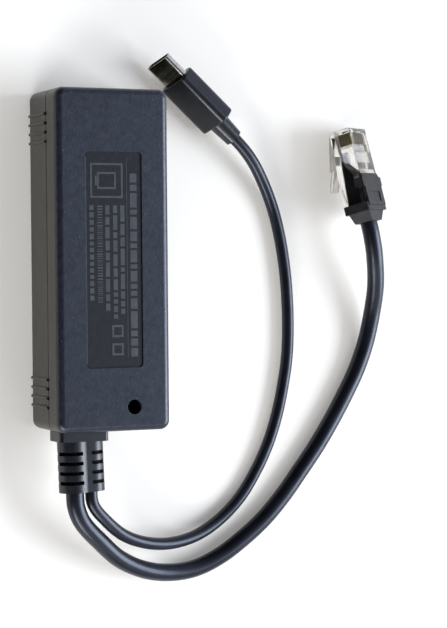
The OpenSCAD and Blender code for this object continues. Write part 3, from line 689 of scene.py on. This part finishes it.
def make_case_rear():
    piece = slab("case_rear", CASE_W, CASE_L, 0, SEAM_Z, CORNER_R, 10)
    round_edges(piece, flat_ring(0), BACK_R, 8)

    def faces_up(centre, normal):
        return normal.z > 0.9

    inset_face(piece, faces_up, WALL / 2, (0, 0, TONGUE_H))

    def tongue_top(centre, normal):
        return normal.z > 0.9 and near(centre.z, SEAM_Z + TONGUE_H)

    inset_face(piece, tongue_top, WALL / 2, (0, 0, WALL - SEAM_Z - TONGUE_H))
    for side, y in ridge_places():
        x = side * CASE_W / 2
        ridge = rod("ridge", (x, y, RIDGE_FOOT), (x, y, SEAM_Z - 0.01), RIDGE_R, sides=24)
        round_edges(ridge, flat_ring(RIDGE_FOOT), 0.25, 3)
        combine(piece, ridge, "UNION")
    combine(piece, socket_cut())
    combine(piece, relief_cut())
    combine(piece, ridge_pockets())
    for x in (-POST_X, POST_X):
        for y in POST_YS:
            combine(piece, rod("post", (x, y, WALL - 0.5), (x, y, 3.6), POST_R, sides=32), "UNION")
    soften(piece, 0.1)
    # The rear shell wears the case plastic with painted warm reflection.
    dress(piece, CASE_SIDE_WARM_REFLECTION_FINISH, ["rear_shell"])
    return more_finishes(piece, (JOINT_AND_SLOT_SHADE_FINISH, joint_face))


# Label panel: plain bars where print would be, a divider and a generic socket outline


def print_bar(x0, x1, y0, y1):
    """One flat bar of print on the panel's floor."""
    floor = CASE_D - LABEL_D
    return box("bar", (x0, y0, floor - 0.01), (x1, y1, floor + PRINT_T))


def print_line(x, width, y_top, y_end, dice, longest):
    """A broken row of bars along the panel, the lengths drawn from a seeded generator."""
    bars, y = [], y_top
    while y > y_end + 0.8:
        length = min(dice.uniform(0.9, longest), y - y_end)
        bars.append(print_bar(x - width / 2, x + width / 2, y - length, y))
        y -= length + 0.55
    return bars


PRINT_T = 0.03
# Rows of print: place across the panel, width, where the row starts and ends, longest bar
PRINT_ROWS = (
    (5.3, 1.8, 21.4, -24.0, 5.0), (2.35, 1.1, 13.5, -13.5, 4.2), (0.44, 1.1, 13.5, -14.5, 4.2),
    (-1.6, 1.1, 13.5, -12.5, 4.2), (-5.75, 1.1, 13.5, -10.5, 1.4),
)
OUTLINE_LINE = 0.5


def make_label():
    dice = random.Random(7)
    bars = []
    for x, width, y_top, y_end, longest in PRINT_ROWS:
        bars += print_line(x, width, y_top, y_end, dice, longest)
    bars.append(print_bar(3.5, 3.62, -24.3, 25.3))
    bars.append(print_bar(-LABEL_W / 2 + 0.15, -LABEL_W / 2 + 0.4, -LABEL_L / 2 + 1.2, LABEL_L / 2 - 1.2))
    y = 13.4
    while y > -10.5:
        width = dice.uniform(0.14, 0.42)
        bars.append(print_bar(-4.3, -2.9, y - width, y))
        y -= width + dice.uniform(0.22, 0.45)
    for centre in ((0.9, -17.6), (0.9, -22.1)):
        bars += outline(centre, 3.0, 3.0)
    bars += outline((-1.75, 19.6), 8.6, 8.6)
    bars += outline((-1.75, 19.6), 5.0, 4.2)
    bars.append(print_bar(-4.8, -4.2, 18.4, 20.8))
    piece = join(bars)
    piece.name = "label_print"
    smooth(piece)
    return dress(piece, PRINT_FINISH)


def outline(centre, width, height):
    """A plain rectangular outline of four bars."""
    x, y = centre
    line = OUTLINE_LINE
    left, right, low, high = x - width / 2, x + width / 2, y - height / 2, y + height / 2
    return [
        print_bar(left, right, high - line, high),
        print_bar(left, right, low, low + line),
        print_bar(left, left + line, low + line, high - line),
        print_bar(right - line, right, low + line, high - line),
    ]


# Strain relief


def relief_lobes(name, y0, y1, shrink):
    """The ribbed body's section: a big lobe, a small one and the web between them."""
    (big_x, big_r), (small_x, small_r) = BIG_LOBE, SMALL_LOBE
    piece = rod(name, (big_x, y0, RELIEF_Z), (big_x, y1, RELIEF_Z), big_r - shrink, sides=64)
    other = rod("lobe", (small_x, y0, RELIEF_Z), (small_x, y1, RELIEF_Z), small_r - shrink, sides=64)
    combine(piece, other, "UNION")
    half = small_r - shrink
    web = box("web", (big_x, y0, RELIEF_Z - half), (small_x, y1, RELIEF_Z + half))
    return combine(piece, web, "UNION")


def relief_slot(y):
    """The cutter of one slot: above and below only, and stopped at the web between the leads."""
    low = (RELIEF_X - FLANGE_W / 2, y - SLOT_W / 2, RELIEF_Z - FLANGE_H / 2)
    high = (RELIEF_X + FLANGE_W / 2, y + SLOT_W / 2, RELIEF_Z + FLANGE_H / 2)
    cutter = box("slot", low, high)
    combine(cutter, relief_lobes("core", y - SLOT_W, y + SLOT_W, SLOT_DEPTH))
    stops = [
        ((WEB_X[0], y - SLOT_W, RELIEF_Z - FLANGE_H), (WEB_X[1], y + SLOT_W, RELIEF_Z + FLANGE_H)),
        ((RELIEF_X - FLANGE_W, y - SLOT_W, RELIEF_Z - SLOT_WEB / 2),
         (RELIEF_X + FLANGE_W, y + SLOT_W, RELIEF_Z + SLOT_WEB / 2)),
    ]
    for low, high in stops:
        combine(cutter, box("stop", low, high))
    return cutter


def in_relief_slot(centre, normal):
    """A face inside one of the slots, below the skin of the ribbed body; these get painted shade."""
    turn = math.radians(-RELIEF_TURN)
    across, back = centre.x - RELIEF_X, centre.y - BODY_Y
    x = RELIEF_X + across * math.cos(turn) - back * math.sin(turn)
    y = BODY_Y + across * math.sin(turn) + back * math.cos(turn)
    height = centre.z - RELIEF_Z
    (big_x, big_r), (small_x, small_r) = BIG_LOBE, SMALL_LOBE
    in_big = math.hypot(x - big_x, height) < big_r - SLOT_SKIN
    in_small = math.hypot(x - small_x, height) < small_r - SLOT_SKIN
    in_web = big_x < x < small_x and abs(height) < small_r - SLOT_SKIN
    return (in_big or in_small or in_web) and any(abs(y - slot) < SLOT_W / 2 + 0.04 for slot in SLOT_YS)


def make_relief():
    end = -CASE_L / 2
    axis = (RELIEF_X, RELIEF_Z)
    piece = relief_lobes("relief", BODY_Y - RELIEF_L, BODY_Y + 0.4, 0)
    for y in SLOT_YS:
        combine(piece, relief_slot(y))
    swing(piece, (RELIEF_X, BODY_Y, 0), RELIEF_TURN)
    combine(piece, bar("flange", axis, FLANGE_W, FLANGE_H, end - FLANGE_T, end, FLANGE_R, 8), "UNION")
    combine(piece, bar("neck", axis, NECK_W, NECK_H, end - 0.5, end + WALL + 0.5, 1), "UNION")
    inner = bar("inner", axis, FLANGE_W, FLANGE_H, end + WALL, end + WALL + 1.6, FLANGE_R, 8)
    combine(piece, inner, "UNION")
    soften(piece, 0.18, 3)
    dress(piece, RELIEF_FINISH, ["strain_relief"])
    return more_finishes(piece, (JOINT_AND_SLOT_SHADE_FINISH, in_relief_slot))


# Network plug, drawn along Y with its nose at the origin and its contacts up


def side_sweep(name, half_width, outline_points):
    """A side outline, as (distance back from the nose, height), swept across the plug."""
    bpy.ops.object.select_all(action="DESELECT")
    mesh = bpy.data.meshes.new(name)
    points = [Vector((-half_width, -y, z)) * MM for y, z in outline_points]
    mesh.from_pydata(points, [], [list(range(len(points)))])
    piece = bpy.data.objects.new(name, mesh)
    bpy.context.scene.collection.objects.link(piece)
    only(piece)
    bpy.ops.object.mode_set(mode="EDIT")
    bpy.ops.mesh.select_all(action="SELECT")
    bpy.ops.mesh.extrude_region_move(TRANSFORM_OT_translate={"value": (2 * half_width * MM, 0, 0)})
    bpy.ops.mesh.select_all(action="SELECT")
    bpy.ops.mesh.normals_make_consistent(inside=False)
    bpy.ops.object.mode_set(mode="OBJECT")
    return piece


def blade_places():
    """Where each blade and its wire stand across the plug."""
    return [(i - (BLADE_COUNT - 1) / 2) * BLADE_PITCH for i in range(BLADE_COUNT)]


def make_latch():
    """Sprung latch: one bent strip from the nose, narrower under the thumb."""
    latch = side_sweep("latch", 3.1, [
        (0.1, -1.5), (0.1, -2.9), (0.4, -3.5), (1, -4), (5, -4.9), (9.8, -6.1), (15, -8), (15, -7.1),
        (9.8, -5.2), (5, -4), (2.1, -3.2), (1.5, -2.7), (1.4, -1.5),
    ])
    for side in (-1, 1):
        low = (min(side * 2.1, side * 4), -16, -9)
        high = (max(side * 2.1, side * 4), -9.8, -4)
        combine(latch, box("trim", low, high))
    return latch


def make_plug_body():
    piece = bar("plug_body", (0, 0), PLUG_W, PLUG_T, -PLUG_L, 0, PLUG_EDGE, 4)
    slice_off(piece, (0, 0, NOSE_FLOOR), (0, FLOOR_DROP, -FLOOR_RUN))

    def nose_edge(a, b):
        return near(a.y, 0) and near(b.y, 0)

    round_edges(piece, nose_edge, 0.5, 4)
    combine(piece, make_latch(), "UNION")
    cavity = side_sweep("cavity", 4.8, [
        (6.3, -1.25), (6.3, 0.9), (9.5, 0.9), (11.5, 2.6), (22.4, 2.6), (22.4, -2.75),
    ])
    combine(piece, cavity)
    combine(piece, box("tray", (-4.2, -6.4, -1.6), (4.2, -1.4, -0.6)))
    for x in blade_places():
        combine(piece, box("slot", (x - 0.225, -4.6, -0.7), (x + 0.225, -1.2, 6)))
    soften(piece, 0.1)
    dress(piece, CLEAR_FINISH, ["data_plug_body"])
    # The latch's faces get the hazier copy, as painted light in the body's shade.
    more_finishes(piece, (LATCH_PAINTED_LIGHT_FINISH, lambda centre, normal: centre.z < LATCH_TOP))
    return place(piece, DATA_NOSE, DATA_POSE)


def make_plug_blades():
    def crown(a, b):
        return near(a.y, b.y) and near(a.z, BLADE_TOP) and near(b.z, BLADE_TOP)

    blades = []
    for x in blade_places():
        blade = box("blade", (x - 0.175, -4.5, -0.6), (x + 0.175, -1.3, BLADE_TOP))
        blades.append(round_edges(blade, crown, 0.6, 4))
    piece = join(blades)
    piece.name = "plug_blades"
    soften(piece, 0.04, 1)
    place(piece, DATA_NOSE, DATA_POSE)
    return dress(piece, BLADE_FINISH, ["data_plug_contacts"])


def make_plug_inside():
    """The lead's flattened end inside the clear body, and the pale wires in front of it."""
    piece = side_sweep("lead_end", 4.7, [
        (8.2, -1.3), (8.2, -0.95), (8.8, -0.8), (10, -0.5), (11.9, 0.8), (13.7, 1.1), (15.5, 1.15),
        (18.1, 1.4), (21.4, 1.5), (21.4, -2.55),
    ])
    soften(piece, 0.25, 3)
    for x in blade_places():
        combine(piece, rod("wire", (x, -8.9, -1.1), (x, -1.55, -1.1), 0.46, sides=16), "UNION")
    smooth(piece)
    dress(piece, SHEATH_FINISH, ["data_plug_wires"])
    more_finishes(piece, (INNER_WIRE_FINISH, lambda centre, normal: centre.y > LEAD_END_Y))
    return place(piece, DATA_NOSE, DATA_POSE)


def make_plug_sleeve():
    piece = bar("plug_sleeve", (0, 0), TAPER_W, TAPER_T, -DATA_LENGTH, -20.6, 0.6, 4)
    for vertex in piece.data.vertices:
        if vertex.co.y < -25 * MM:
            vertex.co.x *= TAPER_END_W / TAPER_W
            vertex.co.z *= TAPER_END_T / TAPER_T
    block = bar("block", (0, 0), 12.5, 7.2, -22.7, -20.4, 0.6, 4)
    combine(piece, block, "UNION")
    panel = side_sweep("panel", 5.5, [(12.6, 3.2), (12.6, 3.4), (14.2, 3.9), (21.4, 3.9), (21.4, 3.2)])
    combine(piece, panel, "UNION")
    combine(piece, box("lug", (-6.25, -16.2, 1.2), (6.25, -13.8, 3.87)), "UNION")
    combine(piece, bar("bed", (0, 0), PLUG_W + 0.1, PLUG_T, -PLUG_L, 0, PLUG_EDGE, 4))
    combine(piece, box("recess", (-3.25, -20.4, 3.65), (3.25, -17.7, 5)))
    soften(piece, 0.14, 3)
    place(piece, DATA_NOSE, DATA_POSE)
    return dress(piece, SLEEVE_FINISH, ["data_plug_boot"])


# Power plug, drawn along Y with its tip at the origin


def flat_tube(name, width, thick, y0, y1, segments=12):
    """A flat bar with half-round sides, along Y."""
    return bar(name, (0, 0), width, thick, y0, y1, thick / 2 - 0.005, segments)


def make_tip():
    piece = flat_tube("power_tip", TIP_W, TIP_T, TIP_BACK, 0)
    combine(piece, flat_tube("bore", 7.65, 1.8, -9.5, 1))
    soften(piece, 0.08, 2)
    dress(piece, NICKEL_SHADED_FINISH, ["usb_shell"])
    # The curved sides get the brighter copy as painted highlight; the flat faces keep the darkened one as
    # painted shade.
    more_finishes(piece, (NICKEL_HIGHLIGHT_FINISH, lambda centre, normal: abs(centre.x) > TIP_HIGHLIGHT_X))
    return place(piece, TIP_NOSE, TIP_POSE)


def make_grip():
    piece = bar("power_grip", (0, 0), GRIP_W, GRIP_T, GRIP_BACK, GRIP_FRONT, 1.8, 10)

    def end_rim(a, b):
        return near(a.y, b.y) and (near(a.y, GRIP_BACK) or near(a.y, GRIP_FRONT))

    round_edges(piece, end_rim, 0.5, 4)
    combine(piece, rod("neck", (0, -TIP_LENGTH, 0), (0, -22, 0), 2.4, 2.8, 64), "UNION")
    combine(piece, flat_tube("bed", TIP_W + 0.1, TIP_T + 0.1, TIP_BACK, 1))
    soften(piece, 0.15, 3)
    place(piece, TIP_NOSE, TIP_POSE)
    return dress(piece, GRIP_FINISH, ["usb_overmould"])


# CAD nodes that show as they are, with their own finishes

NODE_FINISHES = {
    "circuit_board": BOARD_FINISH,
    "jack_housing": CHIP_FINISH,
    "jack_shield": TIN_FINISH,
    "jack_contacts": GOLD_FINISH,
    "network_transformer": CHIP_FINISH,
    "transformer_core": FERRITE_FINISH,
    "transformer_winding": TAPE_FINISH,
    "input_capacitor": SLEEVING_FINISH,
    "output_capacitors": SLEEVING_FINISH,
    "bridge_rectifiers": CHIP_FINISH,
    "controller_chip": CHIP_FINISH,
    "switching_transistor": CHIP_FINISH,
    "output_diode": CHIP_FINISH,
    "output_inductor": FERRITE_FINISH,
    "optocoupler": PALE_CHIP_FINISH,
    "ceramic_capacitors": CERAMIC_FINISH,
    "indicator_led": LAMP_FINISH,
    "data_wires": WIRE_FINISH,
    "power_wires": WIRE_FINISH,
    "usb_insulator": CHIP_FINISH,
    "usb_contacts": GOLD_FINISH,
}


def finish_nodes():
    for name, material in NODE_FINISHES.items():
        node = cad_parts[name]
        node.data.materials.clear()
        node.data.materials.append(material)


# Floor and studio light


def make_floor():
    bpy.ops.object.select_all(action="DESELECT")
    bpy.ops.mesh.primitive_plane_add(size=6, location=(0, 0, -0.0002))
    floor = named("floor")
    finish = Finish(
        "pale floor", (0.75, 0.72, 0.67), 0.85, Emission_Color=(1, 0.97, 0.92, 1), Emission_Strength=0.22
    )
    finish.colour(finish.noise(3, 3), [(0.3, (0.74, 0.71, 0.66)), (0.7, (0.76, 0.73, 0.68))])
    floor.data.materials.append(finish.material)


def area_light(name, place_m, aim_m, size, energy, colour):
    data = bpy.data.lights.new(name, "AREA")
    data.shape = "RECTANGLE"
    data.size, data.size_y = size
    data.energy = energy
    data.color = colour
    light = bpy.data.objects.new(name, data)
    bpy.context.scene.collection.objects.link(light)
    light.location = place_m
    light.rotation_euler = (Vector(aim_m) - Vector(place_m)).to_track_quat("-Z", "Y").to_euler()


def make_world():
    """Soft surroundings: pale above and to the right, dim low on the left."""
    world = bpy.data.worlds.new("studio")
    world.use_nodes = True
    nodes, links = world.node_tree.nodes, world.node_tree.links
    where = nodes.new("ShaderNodeTexCoord").outputs["Generated"]
    side = nodes.new("ShaderNodeVectorMath")
    side.operation = "DOT_PRODUCT"
    side.inputs[1].default_value = PALE_WAY
    spread = nodes.new("ShaderNodeMapRange")
    spread.inputs["From Min"].default_value = -1
    ramp = nodes.new("ShaderNodeValToRGB")
    for at, _ in WORLD_STOPS[2:]:
        ramp.color_ramp.elements.new(at)
    for element, (at, colour) in zip(ramp.color_ramp.elements, WORLD_STOPS):
        element.position = at
        element.color = (*colour, 1)
    links.new(where, side.inputs[0])
    links.new(side.outputs["Value"], spread.inputs["Value"])
    links.new(spread.outputs["Result"], ramp.inputs["Fac"])
    links.new(ramp.outputs["Color"], nodes["Background"].inputs["Color"])
    nodes["Background"].inputs["Strength"].default_value = 1
    bpy.context.scene.world = world


def make_lights():
    area_light("window", (1.3, -0.2, 0.78), (0.03, 0, 0), (1.0, 0.9), 36, (0.86, 0.92, 1))
    area_light("lamp", (-0.68, -1.2, 0.6), (0.03, -0.02, 0), (1.0, 0.42), 20, (0.93, 0.96, 1))
    area_light("front", (0.2, -1.4, 1.3), (0.03, 0, 0), (1.6, 0.9), 7, (1, 0.98, 0.95))


# The build: camera and leads first, then the pieces from the case outwards

make_camera()
bpy.context.scene.view_settings.view_transform = "Standard"
make_floor()
make_world()
make_lights()

data_lead, data_length = make_lead("network_lead", DATA_ROUTE, DATA_D, along(DATA_POSE))
dress(data_lead, SHEATH_FINISH, ["data_cord"])
power_lead, power_length = make_lead("power_lead", POWER_ROUTE, POWER_D, along(TIP_POSE))
dress(power_lead, SHEATH_FINISH, ["power_cord"])

make_case_front()
make_case_rear()
make_label()
relief = make_relief()
plug_pieces = [make_plug_body(), make_plug_blades(), make_plug_inside(), make_plug_sleeve()]
tip_pieces = [make_tip(), make_grip(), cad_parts["usb_insulator"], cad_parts["usb_contacts"]]
finish_nodes()
